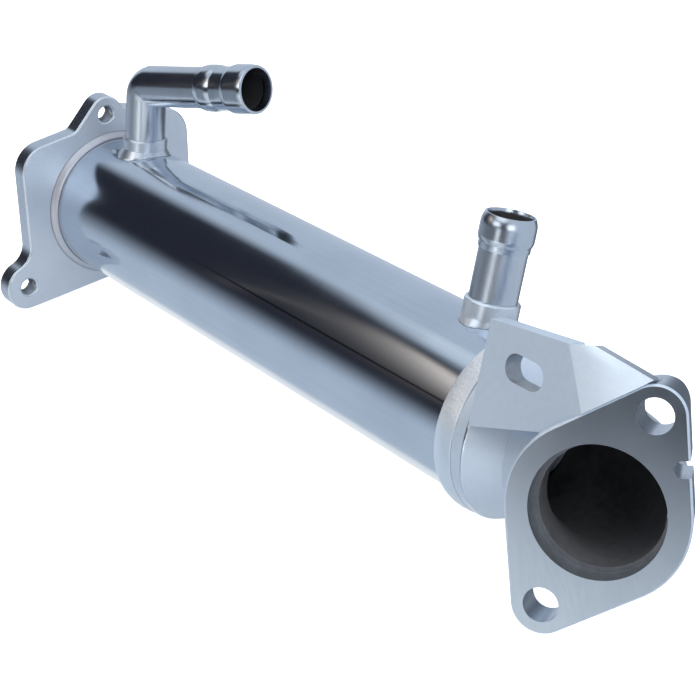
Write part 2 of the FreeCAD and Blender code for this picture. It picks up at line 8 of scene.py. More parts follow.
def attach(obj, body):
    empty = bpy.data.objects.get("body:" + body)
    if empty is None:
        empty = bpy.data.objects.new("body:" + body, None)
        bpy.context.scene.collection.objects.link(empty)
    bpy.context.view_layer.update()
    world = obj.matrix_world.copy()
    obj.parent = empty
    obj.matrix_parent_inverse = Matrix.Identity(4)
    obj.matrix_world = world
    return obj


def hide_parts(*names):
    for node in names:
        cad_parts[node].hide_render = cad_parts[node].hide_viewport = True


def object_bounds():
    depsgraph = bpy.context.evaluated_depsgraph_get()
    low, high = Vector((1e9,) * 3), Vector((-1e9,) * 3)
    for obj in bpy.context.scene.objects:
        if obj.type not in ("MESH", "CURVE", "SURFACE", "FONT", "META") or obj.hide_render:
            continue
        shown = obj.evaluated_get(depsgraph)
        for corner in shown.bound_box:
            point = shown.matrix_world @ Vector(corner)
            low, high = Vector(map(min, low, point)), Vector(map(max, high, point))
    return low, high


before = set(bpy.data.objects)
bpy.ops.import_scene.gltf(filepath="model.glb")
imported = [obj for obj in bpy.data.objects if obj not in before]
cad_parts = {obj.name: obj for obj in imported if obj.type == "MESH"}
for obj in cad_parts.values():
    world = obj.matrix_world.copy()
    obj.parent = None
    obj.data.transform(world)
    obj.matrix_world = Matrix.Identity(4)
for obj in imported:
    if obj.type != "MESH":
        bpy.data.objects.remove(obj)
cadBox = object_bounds()
mm = 0.001
print("frame loaded", len(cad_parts), "nodes")


# Shader maths: a socket that adds, multiplies and maps with plain operators
class Wire:
    def __init__(self, graph, socket):
        self.graph = graph
        self.socket = socket

    def maths(self, operation, *others):
        return self.graph.node("ShaderNodeMath", [self, *others], operation=operation)

    def __add__(self, other):
        return self.maths("ADD", other)

    def __sub__(self, other):
        return self.maths("SUBTRACT", other)

    def __rsub__(self, other):
        return self * -1.0 + other

    def __mul__(self, other):
        return self.maths("MULTIPLY", other)

    def eased(self, start, end):
        return self.graph.node("ShaderNodeMapRange", [self, start, end],
                               interpolation_type="SMOOTHSTEP")


class Graph:
    def __init__(self, tree):
        self.tree = tree
        tree.nodes.clear()

    def node(self, kind, inputs=(), output=0, **settings):
        made = self.tree.nodes.new(kind)
        for key, value in settings.items():
            setattr(made, key, value)
        pairs = inputs.items() if isinstance(inputs, dict) else enumerate(inputs)
        for key, value in pairs:
            if isinstance(value, Wire):
                self.tree.links.new(value.socket, made.inputs[key])
            else:
                made.inputs[key].default_value = value
        return Wire(self, made.outputs[output]) if made.outputs else None

    def blend(self, factor, low, high):
        return self.node("ShaderNodeMix", {0: factor, 6: low, 7: high}, output=2,
                         data_type="RGBA")

    def place(self, stretch=(1, 1, 1)):
        coords = self.node("ShaderNodeTexCoord", output="Object")
        return self.node("ShaderNodeMapping", {"Vector": coords, "Scale": stretch})

    def axes(self, place, count=3):
        return [self.node("ShaderNodeSeparateXYZ", [place], output=index)
                for index in range(count)]

    def noise(self, place, scale, roughness=0.5):
        return self.node("ShaderNodeTexNoise", {"Vector": place, "Scale": scale, "Detail": 3.0,
                                                "Roughness": roughness})


def rgba(colour):
    return (*colour, 1.0)


def newMaterial(name):
    material = bpy.data.materials.new(name)
    material.use_nodes = True
    return material, Graph(material.node_tree)


def addObject(name, data):
    made = bpy.data.objects.new(name, data)
    bpy.context.scene.collection.objects.link(made)
    return made


# A mesh out of a bmesh, which is freed
def meshFrom(form, name):
    mesh = bpy.data.meshes.new(name + "Mesh")
    form.to_mesh(mesh)
    form.free()
    return mesh


# Camera fitted to the photograph
camera = {
    "place": Vector((594.8, -323.4, 257.9)) * mm,
    "forward": Vector((-0.714, 0.5417, -0.4436)).normalized(),
    "up": Vector((-0.3463, 0.2775, 0.8962)),
    "lens": 87.43,
    "sensor": 36.0,
    "near": 0.01,
}

# How far a point may lie off a surface and still belong to it, and the cosine between a face's
# normal and a direction that the face needs at least, or may have at most
slack = 0.1 * mm
cosines = {"flangeFace": 0.99, "wing": 0.985, "plate": 0.5, "rimMost": 0.16, "slotMost": 0.1}

# The casting leans about the jacket's axis. Places on the casting and the spigots, as in the CAD
castingLean = math.radians(13.6)
castingUp = Vector((0, math.sin(castingLean), math.cos(castingLean)))
castingAcross = Vector((0, math.cos(castingLean), -math.sin(castingLean)))
jacketAxis = Vector((1, 0, 0))
passage = {"bendStart": 285.3 * mm, "bendRadius": 24 * mm, "bendAngle": math.radians(60),
           "run": 15.2 * mm, "bore": 18.5 * mm, "seat": 20 * mm, "seatDepth": 7 * mm,
           "jacketBore": 26.5 * mm, "neck": 273 * mm}
lugSlot = {"centre": Vector((280.4, 0, 0)) * mm + castingUp * 29.7 * mm, "reach": 8.2 * mm,
           "back": -22 * mm, "front": -31.5 * mm}
wingNormal = Vector((0.33, -0.85, 0.41)).normalized()
elbowLean, elbowRise, elbowYaw = (math.radians(angle) for angle in (6.2, 9.6, 12.8))
elbow = {"foot": Vector((30, 0, 0)) * mm, "legLength": 54.5 * mm, "reachLength": 60 * mm,
         "flare": 3.4 * mm,
         "leg": Vector((0, math.sin(elbowLean), math.cos(elbowLean))),
         "reach": Vector((math.cos(elbowRise) * math.cos(elbowYaw),
                          math.cos(elbowRise) * math.sin(elbowYaw), math.sin(elbowRise)))}
elbow["corner"] = elbow["foot"] + elbow["leg"] * elbow["legLength"]
straight = {"foot": Vector((233, 0, 0)) * mm, "length": 62.3 * mm, "flare": 1.2 * mm,
            "beadFoot": 52.0 * mm}
pipeBore = 7.2 * mm

# The outlet flange: its bolt holes, where its rim begins, and how far the right side is drawn in
# towards the back: a share of the way beyond drawFrom, and drawMost at most
flange = {"thickness": 11.5 * mm, "boltReach": 33.4 * mm, "boltTurn": math.radians(90 - 16.3),
          "boltHole": 5.3 * mm, "rimFrom": 22 * mm, "drawFrom": 12 * mm, "drawShare": 0.25,
          "drawMost": 1.6 * mm}

# The casting ring's slanted front edge
castRing = {"radius": 30.1 * mm, "near": 0.04 * mm, "from": 253.5 * mm,
            "fold": math.radians(12), "rounding": 0.45 * mm}

# The elbow's hose end, along its reach and out from its axis. Each band is stretched from its
# foot and shifted back, and the lip grows inwards by a share of its thickness
hoseEnd = {"bandOut": 8.2 * mm,
           "bands": ({"from": 34.1 * mm, "to": 35.7 * mm, "foot": 34.2 * mm, "stretch": 1.2,
                      "back": 0.0},
                     {"from": 40.8 * mm, "to": 42.9 * mm, "foot": 41.0 * mm, "stretch": 1.5,
                      "back": 2.2 * mm}),
           "lipFrom": 57.0 * mm, "lipOut": 8.8 * mm, "lipShare": 0.4,
           "rings": ((34.2 * mm, 8.5 * mm), (60.0 * mm, 9.1 * mm)), "ringNear": 0.06 * mm,
           "rounding": 0.3 * mm}

# The inlet flange's three tapped holes, their countersink, and the ridge that stands for the
# threads
thread = {"holes": [Vector((0, across, up)) * mm
                    for across, up in ((-1.1, 38.1), (-42.8, -27.0), (42.8, -27.0))],
          "hole": 3.3 * mm, "near": 0.3 * mm, "plate": 8 * mm, "countersink": 0.5 * mm,
          "crest": 2.8 * mm, "sunk": 0.02 * mm, "flank": 0.45, "pitch": 1.25 * mm,
          "start": 1.0 * mm, "turns": 4, "steps": 32}

# Steels: colour, the darker tone it wanders to, roughness and its spread, how much of it is bare
# metal, the stretch of its drawn or ground lines and their depth, and the depth of its grain.
# Grooves is the way across turned grooves, and the jacket's line a fine dark painted reflection
# along the jacket, fading in along it. A weld is calm, in its own colour, past some angle round
# the jacket, and dark at its toe
steels = {
    "jacket": {"colour": (0.60, 0.665, 0.745), "dark": (0.55, 0.61, 0.69), "rough": 0.13,
               "spread": 0.04, "metal": 1.0, "lines": (2.0, 240.0, 240.0), "lineDepth": 0.02,
               "grain": 0.0,
               "paintedReflectionLine": {"angle": 61.0, "half": 1.0, "core": 0.4, "fade": (0.095, 0.145),
                            "colour": (0.20, 0.20, 0.22)}},
    "rim": {"colour": (0.62, 0.67, 0.735), "dark": (0.55, 0.60, 0.67), "rough": 0.27,
            "spread": 0.05, "metal": 1.0, "lines": (60.0, 60.0, 60.0), "lineDepth": 0.0,
            "grain": 0.03},
    "plate": {"colour": (0.60, 0.65, 0.715), "dark": (0.54, 0.59, 0.655), "rough": 0.36,
              "spread": 0.05, "metal": 0.76, "lines": (60.0, 60.0, 300.0), "lineDepth": 0.02,
              "grain": 0.0},
    "casting": {"colour": (0.585, 0.66, 0.75), "dark": (0.54, 0.61, 0.70), "rough": 0.42,
                "spread": 0.05, "metal": 0.75, "lines": (80.0, 80.0, 80.0), "lineDepth": 0.0,
                "grain": 0.08},
    # The wing face's steel: its colour brighter than the casting's, painted light for the light
    # the wing catches
    "ground": {"colour": (0.67, 0.745, 0.83), "dark": (0.60, 0.675, 0.765), "rough": 0.38,
               "spread": 0.05, "metal": 0.64, "lines": (40.0, 160.0, 160.0), "lineDepth": 0.04,
               "grain": 0.06},
    "machined": {"colour": (0.62, 0.68, 0.75), "dark": (0.57, 0.63, 0.70), "rough": 0.17,
                 "spread": 0.03, "metal": 1.0, "lines": (30.0, 400.0, 30.0), "lineDepth": 0.01,
                 "grain": 0.01},
    # The seat in the outlet bore: dark, painted shade in the bore's mouth
    "seat": {"colour": (0.26, 0.285, 0.32), "dark": (0.18, 0.195, 0.22), "rough": 0.32,
             "spread": 0.06, "metal": 0.75, "lines": (60.0, 60.0, 60.0), "lineDepth": 0.0,
             "grain": 0.05},
    # Edges: a brighter steel on rounded edges, partly real wear and partly a painted highlight
    "edge": {"colour": (0.72, 0.77, 0.83), "dark": (0.62, 0.67, 0.74), "rough": 0.22,
             "spread": 0.05, "metal": 1.0, "lines": (90.0, 90.0, 90.0), "lineDepth": 0.0,
             "grain": 0.04},
    "pipe": {"colour": (0.66, 0.71, 0.77), "dark": (0.56, 0.60, 0.66), "rough": 0.31,
             "spread": 0.03, "metal": 1.0, "lines": (300.0, 300.0, 10.0), "lineDepth": 0.005,
             "grain": 0.0, "grooves": castingUp},
    "run": {"colour": (0.66, 0.71, 0.77), "dark": (0.56, 0.60, 0.66), "rough": 0.17,
            "spread": 0.04, "metal": 1.0, "lines": (300.0, 10.0, 10.0), "lineDepth": 0.01,
            "grain": 0.0},
    "collar": {"colour": (0.64, 0.70, 0.77), "dark": (0.54, 0.59, 0.66), "rough": 0.30,
               "spread": 0.06, "metal": 0.78, "lines": (150.0, 150.0, 150.0),
               "lineDepth": 0.02, "grain": 0.03},
    "footing": {"colour": (0.64, 0.69, 0.75), "dark": (0.52, 0.56, 0.62), "rough": 0.32,
                "spread": 0.06, "metal": 0.95, "lines": (150.0, 150.0, 150.0),
                "lineDepth": 0.02, "grain": 0.02},
    # Steel of the holes: dark, painted shade inside the tapped holes, on their threads and on the
    # lug slot's walls
    "tapped": {"colour": (0.40, 0.43, 0.47), "dark": (0.28, 0.30, 0.33), "rough": 0.34,
               "spread": 0.06, "metal": 0.85, "lines": (60.0, 60.0, 60.0), "lineDepth": 0.0,
               "grain": 0.03},
    "weld": {"colour": (0.74, 0.77, 0.80), "dark": (0.50, 0.51, 0.54), "rough": 0.36,
             "spread": 0.08, "metal": 0.72, "lines": (200.0, 200.0, 200.0), "lineDepth": 0.0,
             "grain": 0.35,
             "calm": {"angles": (62.0, 82.0), "colour": (0.59, 0.67, 0.76), "smooth": 0.85,
                      "toe": (0.34, 0.31, 0.32), "toeFade": (0.2490, 0.2485)}},
    "seam": {"colour": (0.53, 0.56, 0.61), "dark": (0.46, 0.44, 0.47), "rough": 0.42,
             "spread": 0.05, "metal": 0.78, "lines": (260.0, 8.0, 8.0), "lineDepth": 0.12,
             "grain": 0.05},
    # The gas passage inside the casting: near black, painted shade
    "passage": {"colour": (0.18, 0.185, 0.20), "dark": (0.12, 0.125, 0.135), "rough": 0.48,
                "spread": 0.06, "metal": 0.6, "lines": (60.0, 60.0, 60.0), "lineDepth": 0.0,
                "grain": 0.1},
    # The pipe bores: near black, painted shade deep inside
    "bore": {"colour": (0.060, 0.060, 0.064), "dark": (0.030, 0.030, 0.033), "rough": 0.50,
             "spread": 0.10, "metal": 0.6, "lines": (60.0, 60.0, 60.0), "lineDepth": 0.0,
             "grain": 0.2},
    # The parts inside the shell: dark steel, painted shade
    "inner": {"colour": (0.26, 0.27, 0.29), "dark": (0.14, 0.14, 0.15), "rough": 0.45,
              "spread": 0.12, "metal": 0.9, "lines": (60.0, 60.0, 60.0), "lineDepth": 0.0,
              "grain": 0.2},
}

# What the steels share: the scales of their noises, the bands that turn noise into patches and
# lines, the larger and smaller share of each in the tone, and the depth of the relief
relief = {"patchScale": 38.0, "patchBand": (0.35, 0.68), "lineScale": 6.0, "lineRough": 0.6,
          "lineBand": (0.35, 0.7), "grainScale": 1500.0, "grainRough": 0.65, "larger": 0.6,
          "smaller": 0.4, "strength": 0.35, "depth": 0.3 * mm, "grooveScale": 6000.0,
          "grooveDepth": 0.015 * mm}


# Distance along the jacket's axis and the angle round it in degrees, from the top towards the
# lug's side
def roundJacket(graph):
    along, across, up = graph.axes(graph.place())
    return along, (across * -1.0).maths("ARCTAN2", up) * (180 / math.pi)


def makeSteel(name, look):
    material, graph = newMaterial(name)
    patches = graph.noise(graph.place(), relief["patchScale"]).eased(*relief["patchBand"])
    drawn = graph.noise(graph.place(look["lines"]), relief["lineScale"], relief["lineRough"])
    grain = graph.noise(graph.place(), relief["grainScale"], relief["grainRough"])
    larger, smaller = relief["larger"], relief["smaller"]
    tint = patches * larger + drawn.eased(*relief["lineBand"]) * smaller
    colour = graph.blend(tint, rgba(look["colour"]), rgba(look["dark"]))
    wander = drawn * larger + patches * smaller
    rough = wander * (2 * look["spread"]) + (look["rough"] - look["spread"])
    height = drawn * look["lineDepth"] + grain * look["grain"]
    if "calm" in look:
        plan = look["calm"]
        along, angle = roundJacket(graph)
        calm = angle.eased(*plan["angles"])
        colour = graph.blend(calm, colour, rgba(plan["colour"]))
        colour = graph.blend(along.eased(*plan["toeFade"]), colour, rgba(plan["toe"]))
        height = height * (1.0 - calm * plan["smooth"])
    bump = graph.node("ShaderNodeBump", {"Strength": relief["strength"],
                                         "Distance": relief["depth"], "Height": height})
    if "grooves" in look:
        across = graph.node("ShaderNodeVectorMath", [graph.place(), look["grooves"]], output=1,
                            operation="DOT_PRODUCT")
        turned = graph.node("ShaderNodeTexNoise",
                            {"W": across, "Scale": relief["grooveScale"], "Detail": 1.0},
                            noise_dimensions="1D")
        bump = graph.node("ShaderNodeBump", {"Strength": 1.0, "Distance": relief["grooveDepth"],
                                             "Height": turned, "Normal": bump})
    # A fine dark line along the jacket: a painted reflection
    if "paintedReflectionLine" in look:
        plan = look["paintedReflectionLine"]
        along, angle = roundJacket(graph)
        off = (angle - plan["angle"]).maths("ABSOLUTE")
        line = off.eased(plan["half"], plan["half"] * plan["core"]) * along.eased(*plan["fade"])
        colour = graph.blend(line, colour, rgba(plan["colour"]))
    shader = graph.node("ShaderNodeBsdfPrincipled",
                        {"Base Color": colour, "Metallic": look["metal"], "Roughness": rough,
                         "Normal": bump})
    graph.node("ShaderNodeOutputMaterial", {"Surface": shader})
    return material


materials = {name: makeSteel(name + "Steel", look) for name, look in steels.items()}
print("materials made", len(materials))


# Distance of a point from a line, and whether a face there looks towards the line
def fromLine(point, normal, start, direction):
    offset = point - start
    offset -= direction * offset.dot(direction)
    return offset.length, normal.dot(offset) < 0


# The outlet flange's centre and the way its face looks
def outletFace():
    turn, radius, run = passage["bendAngle"], passage["bendRadius"], passage["run"]
    outward = Vector((math.cos(turn), 0, 0)) - castingAcross * math.sin(turn)
    bendEnd = Vector((passage["bendStart"] + math.sin(turn) * radius, 0, 0))
    bendEnd -= castingAcross * (1 - math.cos(turn)) * radius
    return bendEnd + outward * run, outward


# The centres of the outlet flange's two bolt holes
def boltHoles():
    centre, outward = outletFace()
    across = castingUp.cross(outward)
    turn = flange["boltTurn"]
    line = (across * math.cos(turn) + castingUp * math.sin(turn)) * flange["boltReach"]
    return centre + line, centre - line


# Whether a face of the outlet flange looks at the axis of a bolt hole that it lies in
def holeSide(point, normal, outward):
    for hole in boltHoles():
        reach, inside = fromLine(point, normal, hole, outward)
        if inside and reach < flange["boltHole"] + slack:
            return True
    return False


# Whether a face lies in the gas passage's bend, or in its neck before the bend
def inBend(point, normal):
    pivot = Vector((passage["bendStart"], 0, 0)) - castingAcross * passage["bendRadius"]
    spoke = point - pivot
    spoke -= castingUp * spoke.dot(castingUp)
    if point.x < passage["bendStart"]:
        away = point - Vector((point.x, 0, 0))
    elif spoke.dot(castingAcross) > 0:
        away = point - (pivot + spoke.normalized() * passage["bendRadius"])
    else:
        return False
    return away.length < passage["bore"] + slack and normal.dot(away) < 0


# Which steel each face of the casting has: machined or rim outside; on the wing face a brighter
# steel, painted light for the light the wing catches; a dark steel on the slot's walls, painted
# shade; and seat and passage inside, darkened as painted shade
def castingFinish(point, normal):
    centre, outward = outletFace()
    depth = (centre - point).dot(outward)
    reach, inside = fromLine(point, normal, centre, outward)
    if depth < slack / 2 and normal.dot(outward) > cosines["flangeFace"]:
        return "machined"
    # The seat and the passage inside the outlet bore get dark steels: painted shade
    if inside and reach < passage["seat"] + 2 * slack and depth < passage["run"]:
        return "seat" if depth < passage["seatDepth"] + slack else "passage"
    if slack < depth < flange["thickness"] - slack:
        onRight = (point - centre).dot(castingUp.cross(outward)) > 0
        onRim = reach > flange["rimFrom"] and abs(normal.dot(outward)) < cosines["rimMost"]
        if holeSide(point, normal, outward) or (onRim and onRight):
            return "rim"
    # The wing face gets the brighter steel: painted light
    if normal.dot(wingNormal) > cosines["wing"]:
        return "ground"
    # The lug slot's walls get the dark hole steel: painted shade
    reach, inside = fromLine(point, normal, lugSlot["centre"], castingAcross)
    inLug = lugSlot["front"] < point.dot(castingAcross) < lugSlot["back"]
    isWall = abs(normal.dot(castingAcross)) < cosines["slotMost"]
    if inside and reach < lugSlot["reach"] and isWall and inLug:
        return "tapped"
    # Inside the socket and the bend a face gets the dark passage steel: painted shade
    reach, inside = fromLine(point, normal, Vector(), jacketAxis)
    inSocket = point.x < passage["neck"] + slack and reach < passage["jacketBore"] + slack
    return "passage" if (inside and inSocket) or inBend(point, normal) else "casting"


def plateFinish(point, normal):
    if abs(normal.x) > cosines["plate"]:
        return "plate"
    # The tapped holes' walls get the dark hole steel: painted shade
    for hole in thread["holes"]:
        reach, inside = fromLine(point, normal, hole, jacketAxis)
        if inside and reach < thread["hole"] + thread["near"]:
            return "tapped"
    return "rim"


def elbowFinish(point, normal):
    fromCorner = point - elbow["corner"]
    inLeg, facesLeg = fromLine(point, normal, elbow["foot"], elbow["leg"])
    inReach, facesReach = fromLine(point, normal, elbow["corner"], elbow["reach"])
    if fromCorner.dot(elbow["reach"]) > elbow["reachLength"] - elbow["flare"] - slack:
        return "run"
    # Inside the bore: the near-black bore steel, painted shade
    if (facesLeg and inLeg < pipeBore + slack) or (facesReach and inReach < pipeBore + slack):
        return "bore"
    return "run" if fromCorner.dot(elbow["reach"] + elbow["leg"]) > 0 else "pipe"


def straightFinish(point, normal):
    reach, inside = fromLine(point, normal, straight["foot"], castingUp)
    height = (point - straight["foot"]).dot(castingUp)
    # Inside the bore: the near-black bore steel, painted shade
    if inside and reach < pipeBore + slack and height < straight["length"] - straight["flare"]:
        return "bore"
    return "rim" if height > straight["beadFoot"] else "pipe"


# Rounds the given edges and returns the new faces
def roundEdges(form, edges, width):
    made = bmesh.ops.bevel(form, geom=edges, offset=width, offset_type="OFFSET", segments=2,
                           profile=0.5, affect="EDGES", material=-1)
    return made["faces"]


# The elbow's hose end: a gentle arch behind a crisp step, and a thicker, rounded lip
def elbowShape(form):
    def measure(vert):
        fromCorner = vert.co - elbow["corner"]
        along = fromCorner.dot(elbow["reach"])
        return along, fromCorner - elbow["reach"] * along
    for vert in form.verts:
        along, spoke = measure(vert)
        for band in hoseEnd["bands"]:
            if spoke.length > hoseEnd["bandOut"] and band["from"] < along < band["to"]:
                move = (along - band["foot"]) * band["stretch"] - band["back"]
                vert.co += elbow["reach"] * move
        if along > hoseEnd["lipFrom"] and pipeBore < spoke.length < hoseEnd["lipOut"]:
            vert.co -= spoke.normalized() * (spoke.length - pipeBore) * hoseEnd["lipShare"]

    def onRing(vert, place, out):
        along, spoke = measure(vert)
        return abs(along - place) < slack / 2 and abs(spoke.length - out) < hoseEnd["ringNear"]
    rings = [edge for edge in form.edges for place, out in hoseEnd["rings"]
             if all(onRing(vert, place, out) for vert in edge.verts)]
    return roundEdges(form, rings, hoseEnd["rounding"])


# The casting ring's slanted front edge, rounded so that the brighter edge steel paints a
# highlight line along it, and the flange's right side drawn in towards its back
def castingShape(form):
    centre, outward = outletFace()
    across = castingUp.cross(outward)
    holes = boltHoles()
    for vert in form.verts:
        offset = vert.co - centre
        beyond = offset.dot(across) - flange["drawFrom"]
        if abs(offset.dot(outward) + flange["thickness"]) > slack or beyond < 0:
            continue
        if not any((vert.co - hole).cross(outward).length < flange["boltHole"] + 2 * slack
                   for hole in holes):
            vert.co -= across * min(flange["drawMost"], beyond * flange["drawShare"])

    def onRing(vert):
        off = abs(math.hypot(vert.co.y, vert.co.z) - castRing["radius"])
        return off < castRing["near"] and vert.co.x > castRing["from"]
    edges = [edge for edge in form.edges if all(onRing(vert) for vert in edge.verts)
             and len(edge.link_faces) == 2 and edge.calc_face_angle() > castRing["fold"]]
    return roundEdges(form, edges, castRing["rounding"])


# A small countersink at the near end of each tapped hole
def plateShape(form):
    def onMouth(vert):
        return vert.co.x > thread["plate"] - slack / 2 and any(
            abs((vert.co - hole).yz.length - thread["hole"]) < slack / 2
            for hole in thread["holes"])
    edges = [edge for edge in form.edges if all(onMouth(vert) for vert in edge.verts)]
    return roundEdges(form, edges, thread["countersink"])


# What the refined copies share: which points are merged, which faces count as flat together,
# and from what fold an edge is sharp
cleaning = {"merge": 0.002 * mm, "flat": math.radians(0.3), "sharp": math.radians(28)}


# A smooth copy of a CAD node: merged, flat regions joined, reshaped where it has a shape, with
# finishes by face, and its sharp edges rounded in a brighter steel, partly wear and partly a
# painted highlight
def refined(node, plan):
    finishes = [plan["look"], "edge", *plan.get("extra", ())]
    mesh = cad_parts[node].data.copy()
    mesh.name = node + "Mesh"
    form = bmesh.new()
    form.from_mesh(mesh)
    bmesh.ops.remove_doubles(form, verts=form.verts, dist=cleaning["merge"])
    bmesh.ops.dissolve_limit(form, angle_limit=cleaning["flat"], verts=form.verts,
                             edges=form.edges)
    shaped = plan["shape"](form) if "shape" in plan else ()
    mesh.materials.clear()
    for look in finishes:
        mesh.materials.append(materials[look])
    for face in form.faces:
        face.material_index = 0
        if "finish" in plan:
            look = plan["finish"](face.calc_center_median(), face.normal)
            face.material_index = finishes.index(look)
    # Faces that a shape made get the brighter edge steel: a painted highlight on the rounding
    for face in shaped:
        face.material_index = 1
    form.to_mesh(mesh)
    form.free()
    mesh.shade_smooth()
    piece = addObject(node + "Piece", mesh)
    if plan["wearAndSheenWidth"] > 0:
        # Sharp edges are rounded in the brighter edge steel: partly wear, partly a painted
        # highlight
        rounding = piece.modifiers.new("wearAndSheenEdges", "BEVEL")
        rounding.limit_method = "ANGLE"
        rounding.angle_limit = cleaning["sharp"]
        rounding.width = plan["wearAndSheenWidth"]
        rounding.segments = 2
        rounding.profile = 0.5
        rounding.material = 1
        rounding.harden_normals = True
    else:
        mesh.set_sharp_from_angle(angle=cleaning["sharp"])
    weighting = piece.modifiers.new("faceNormals", "WEIGHTED_NORMAL")
    weighting.keep_sharp = True
    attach(piece, "root")
    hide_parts(node)


refinements = {
    "shell_tube": {"look": "jacket", "slot": "jacket_steel", "wearAndSheenWidth": 0.0},
    "inlet_flange": {"look": "plate", "slot": "flange_steel", "wearAndSheenWidth": 0.12 * mm,
                     "shape": plateShape, "finish": plateFinish, "extra": ("rim", "tapped")},
    "outlet_housing": {"look": "casting", "slot": "cast_steel", "wearAndSheenWidth": 0.32 * mm,
                       "shape": castingShape, "finish": castingFinish,
                       "extra": ("machined", "ground", "rim", "tapped", "seat", "passage")},
    "elbow_pipe": {"look": "pipe", "slot": "pipe_steel", "wearAndSheenWidth": 0.0, "shape": elbowShape,
                   "finish": elbowFinish, "extra": ("run", "bore")},
    "straight_pipe": {"look": "pipe", "slot": "pipe_steel", "wearAndSheenWidth": 0.0,
                      "finish": straightFinish, "extra": ("rim", "bore")},
    "elbow_collar": {"look": "footing", "slot": "pipe_steel", "wearAndSheenWidth": 0.15 * mm},
    "straight_collar": {"look": "collar", "slot": "pipe_steel", "wearAndSheenWidth": 0.15 * mm},
}
for node, plan in refinements.items():
    refined(node, plan)
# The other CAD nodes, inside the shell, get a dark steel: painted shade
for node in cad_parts:
    if node not in refinements:
        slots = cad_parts[node].data.materials
        slots.clear()
        slots.append(materials["inner"])
print("pieces refined", len(refinements))


# Weld beads: the bead's section, along the jacket and out from its axis in mm, spun round the
# jacket, then rippled as the torch left it. Past fixed, the outlet's bead is squeezed to end
# short of the casting ring's edge, which swings along the jacket by ringSwing
beads = {
    "inlet_weld": {"section": ((10.5, 28.05), (10.3, 28.5), (10.0, 28.95), (9.6, 29.35),
                               (9.15, 29.75), (8.6, 30.15), (8.0, 30.5)),
                   "root": (8.0, 28.05), "ripple": 0.03 * mm, "rough": 0.02 * mm,
                   "pitch": 1.5 * mm, "seed": 3.0, "look": "seam"},
    "outlet_weld": {"section": ((248.3, 28.05), (248.55, 28.6), (248.9, 29.1), (249.4, 29.6),
                                (250.0, 30.05), (250.8, 30.35), (251.6, 30.5), (252.5, 30.57),
                                (253.4, 30.58), (254.3, 30.52), (255.2, 30.42), (256.1, 30.31),
                                (257.0, 30.2), (257.8, 30.12)),
                    "root": (250.5, 28.5), "ripple": 0.07 * mm, "rough": 0.10 * mm,
                    "pitch": 1.3 * mm, "seed": 11.0, "look": "weld", "fixed": 251.0 * mm,
                    "ringEdge": 258.2 * mm, "ringSwing": 4.34 * mm},
}

# What the beads share: steps round the jacket, how far each ripple bows in pitches, the scale of
# the grit, how much ripple is left at the toes, and the gap kept to the ring's edge
torch = {"steps": 360, "bow": 1.1, "gritScale": 900, "toe": 0.15, "near": 0.01 * mm,
         "ringGap": 0.3 * mm}


def makeBead(node, plan):
    form = bmesh.new()
    outline = [Vector((along, 0, out)) * mm for along, out in (*plan["section"], plan["root"])]
    profile = [form.verts.new(point) for point in outline]
    edges = [form.edges.new((profile[index - 1], profile[index]))
             for index in range(len(profile))]
    bmesh.ops.spin(form, geom=profile + edges, cent=(0, 0, 0), axis=(1, 0, 0),
                   angle=2 * math.pi, steps=torch["steps"], use_merge=True)
    bmesh.ops.remove_doubles(form, verts=form.verts, dist=torch["near"])
    first, last, root = outline[0], outline[-2], outline[-1]
    for vert in form.verts:
        radial = Vector((0, vert.co.y, vert.co.z))
        if abs(vert.co.x - root.x) < torch["near"] and (
                abs(radial.length - root.z) < torch["near"]):
            continue
        share = (vert.co.x - first.x) / (last.x - first.x)
        angle = math.atan2(vert.co.y, vert.co.z)
        bow = torch["bow"] * plan["pitch"] * (2 * share - 1) ** 2
        wave = math.cos(2 * math.pi * (angle * first.z - bow) / plan["pitch"])
        grit = noise.noise(vert.co * torch["gritScale"] + Vector((plan["seed"], 0, 0)))
        crown = max(torch["toe"], 1 - abs(2 * share - 1) ** 4)
        if "ringEdge" in plan and vert.co.x > plan["fixed"]:
            swing = plan["ringSwing"] * radial.normalized().dot(castingAcross)
            edge = plan["ringEdge"] - swing - torch["ringGap"]
            squeeze = min(1.0, (edge - plan["fixed"]) / (last.x - plan["fixed"]))
            vert.co.x = plan["fixed"] + (vert.co.x - plan["fixed"]) * squeeze
        swell = plan["ripple"] * wave + plan["rough"] * grit
        vert.co += radial.normalized() * swell * crown
    bmesh.ops.recalc_face_normals(form, faces=form.faces)
    mesh = meshFrom(form, node)
    mesh.shade_smooth()
    mesh.materials.append(materials[plan["look"]])
    piece = addObject(node + "Bead", mesh)
    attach(piece, "root")
    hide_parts(node)


for node, plan in beads.items():
    makeBead(node, plan)
print("weld beads made", len(beads))


# Screw threads in the three tapped holes: a ridge turned round each hole's axis
def makeThreads():
    form = bmesh.new()
    base = thread["hole"] + thread["sunk"]
    half = thread["flank"] * thread["pitch"]
    for hole in thread["holes"]:
        centre = hole + Vector((thread["start"] + half, 0, 0))
        ridge = [form.verts.new(centre + Vector((-half, base, 0))),
                 form.verts.new(centre + Vector((0, thread["crest"], 0))),
                 form.verts.new(centre + Vector((half, base, 0)))]
        section = form.faces.new(ridge)
        bmesh.ops.spin(form, geom=[section], cent=centre, axis=(1, 0, 0),
                       dvec=(thread["pitch"] / thread["steps"], 0, 0),
                       angle=2 * math.pi * thread["turns"],
                       steps=thread["turns"] * thread["steps"])
    bmesh.ops.remove_doubles(form, verts=form.verts, dist=0.001 * mm)
    bmesh.ops.recalc_face_normals(form, faces=form.faces)
    mesh = meshFrom(form, "inletThreads")
    # The threads take the dark hole steel: painted shade
    mesh.materials.append(materials["tapped"])
    piece = addObject("inletThreads", mesh)
    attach(piece, "root")


makeThreads()
print("threads made")


